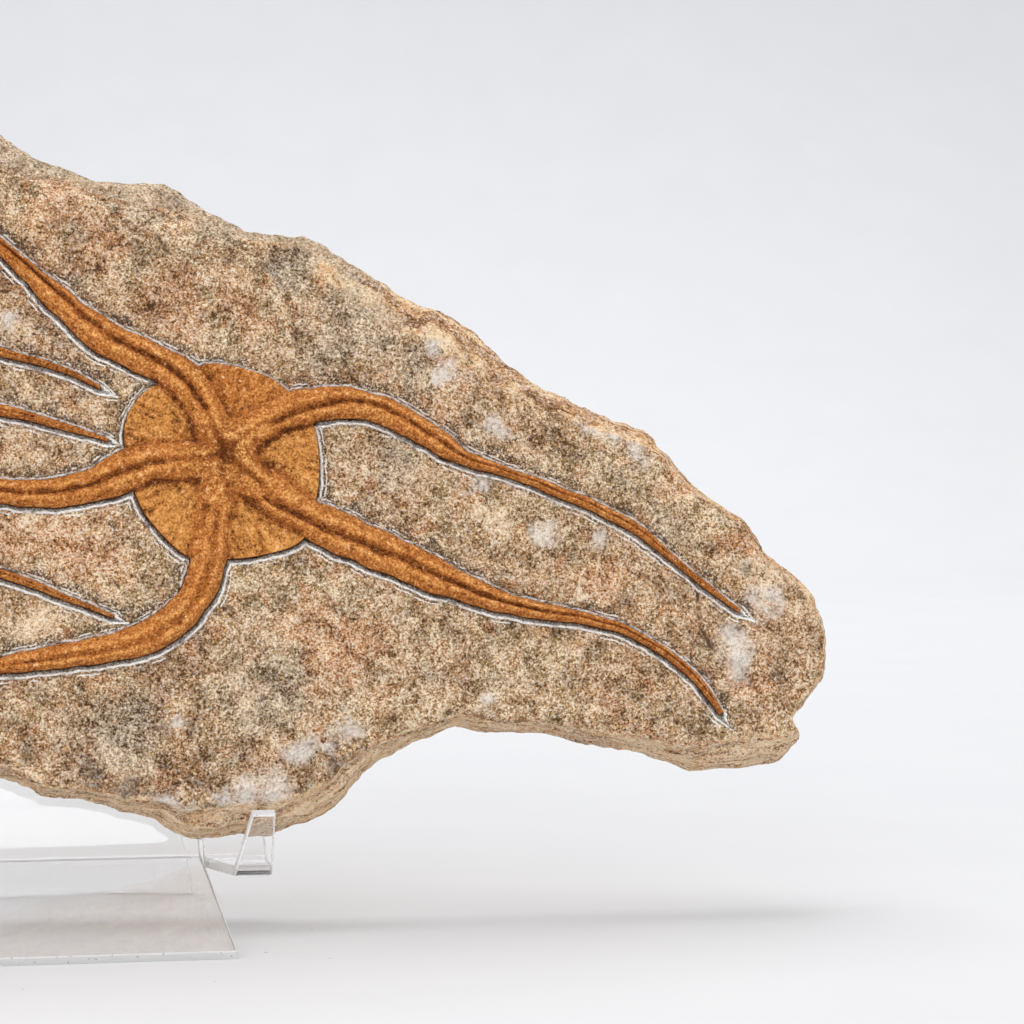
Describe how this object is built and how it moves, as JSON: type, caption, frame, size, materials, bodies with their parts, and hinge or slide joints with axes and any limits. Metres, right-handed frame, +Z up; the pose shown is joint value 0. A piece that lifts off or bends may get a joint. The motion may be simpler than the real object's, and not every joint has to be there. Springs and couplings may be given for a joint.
{
  "type": "brittle star fossil",
  "caption": "Brittle stars in raised orange relief on a long, rough sandstone slab that leans on a clear bent acrylic stand",
  "frame": {"origin": "on the table, under the middle of the whole object", "axes": "+Z up, +X along the slab's length, and the prepared face looks to -Y and leans back 12 degrees"},
  "size_m": [0.419, 0.0963, 0.2091],
  "materials": {
    "sandstone": "rough split sandstone, grey-brown, with tan bedding at the edges",
    "limonite": "matt orange-brown iron oxide that replaces the animal",
    "clear_acrylic": "clear sheet with flame-polished edges"
  },
  "bodies": {
    "root": {"rock_slab": "sandstone", "brittle_star": "limonite", "second_brittle_star": "limonite", "acrylic_stand": "clear_acrylic"}
  },
  "joints": []
}
